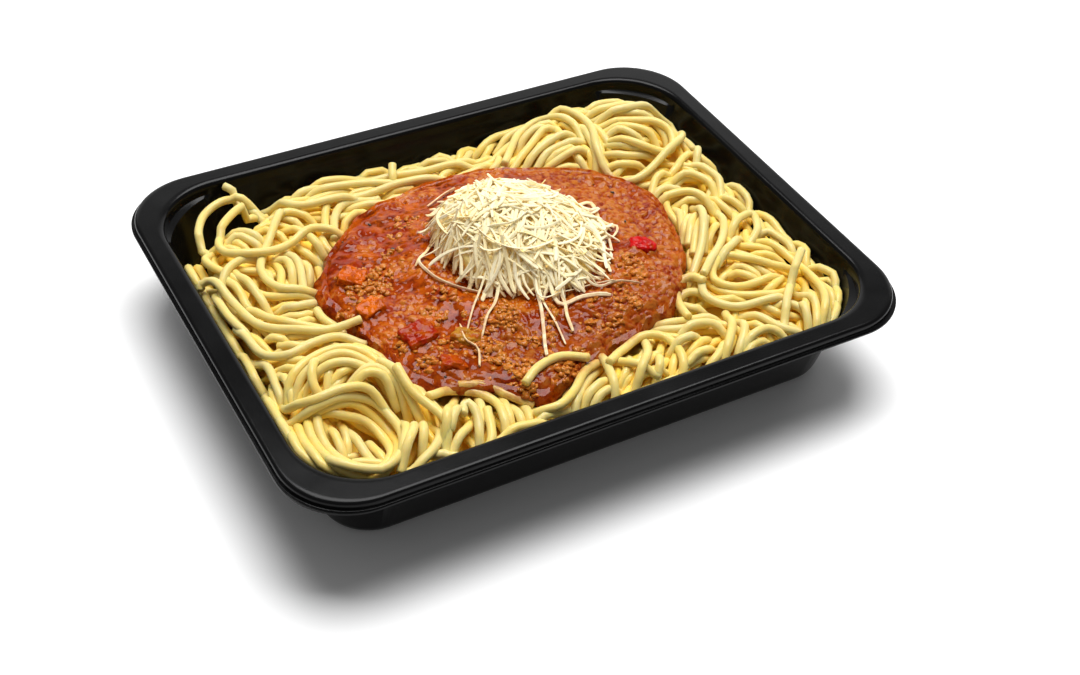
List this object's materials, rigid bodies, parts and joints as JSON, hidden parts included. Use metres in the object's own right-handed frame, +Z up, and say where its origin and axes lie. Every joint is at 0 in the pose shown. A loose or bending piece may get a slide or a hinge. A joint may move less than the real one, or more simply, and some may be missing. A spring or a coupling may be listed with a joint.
{
  "type": "spaghetti bolognese ready meal in a black plastic tray",
  "caption": "Rectangular black ready-meal tray with rolled rim, filled with a heap of spaghetti, meat and tomato sauce with diced vegetables, and a mound of grated cheese.",
  "frame": {"origin": "middle of the tray's flat underside", "axes": "+X along the tray's long side, +Y along its short side towards the back, +Z up"},
  "size_m": [0.227, 0.178, 0.0594],
  "materials": {
    "tray_plastic": "black moulded polyester, satin gloss",
    "pasta": "boiled wheat pasta, moist and slightly translucent",
    "meat_sauce": "wet tomato sauce with minced meat",
    "cheese": "pale grated hard cheese",
    "red_pepper": "wet cooked red pepper",
    "carrot": "wet cooked carrot",
    "tomato": "wet cooked tomato",
    "onion": "translucent cooked onion"
  },
  "bodies": {
    "root": {"tray": "tray_plastic", "spaghetti": "pasta", "sauce": "meat_sauce", "grated_cheese": "cheese", "red_pepper_piece": "red_pepper", "carrot_cube": "carrot", "carrot_piece": "carrot", "tomato_piece_1": "tomato", "tomato_piece_2": "tomato", "onion_piece": "onion"}
  },
  "joints": []
}
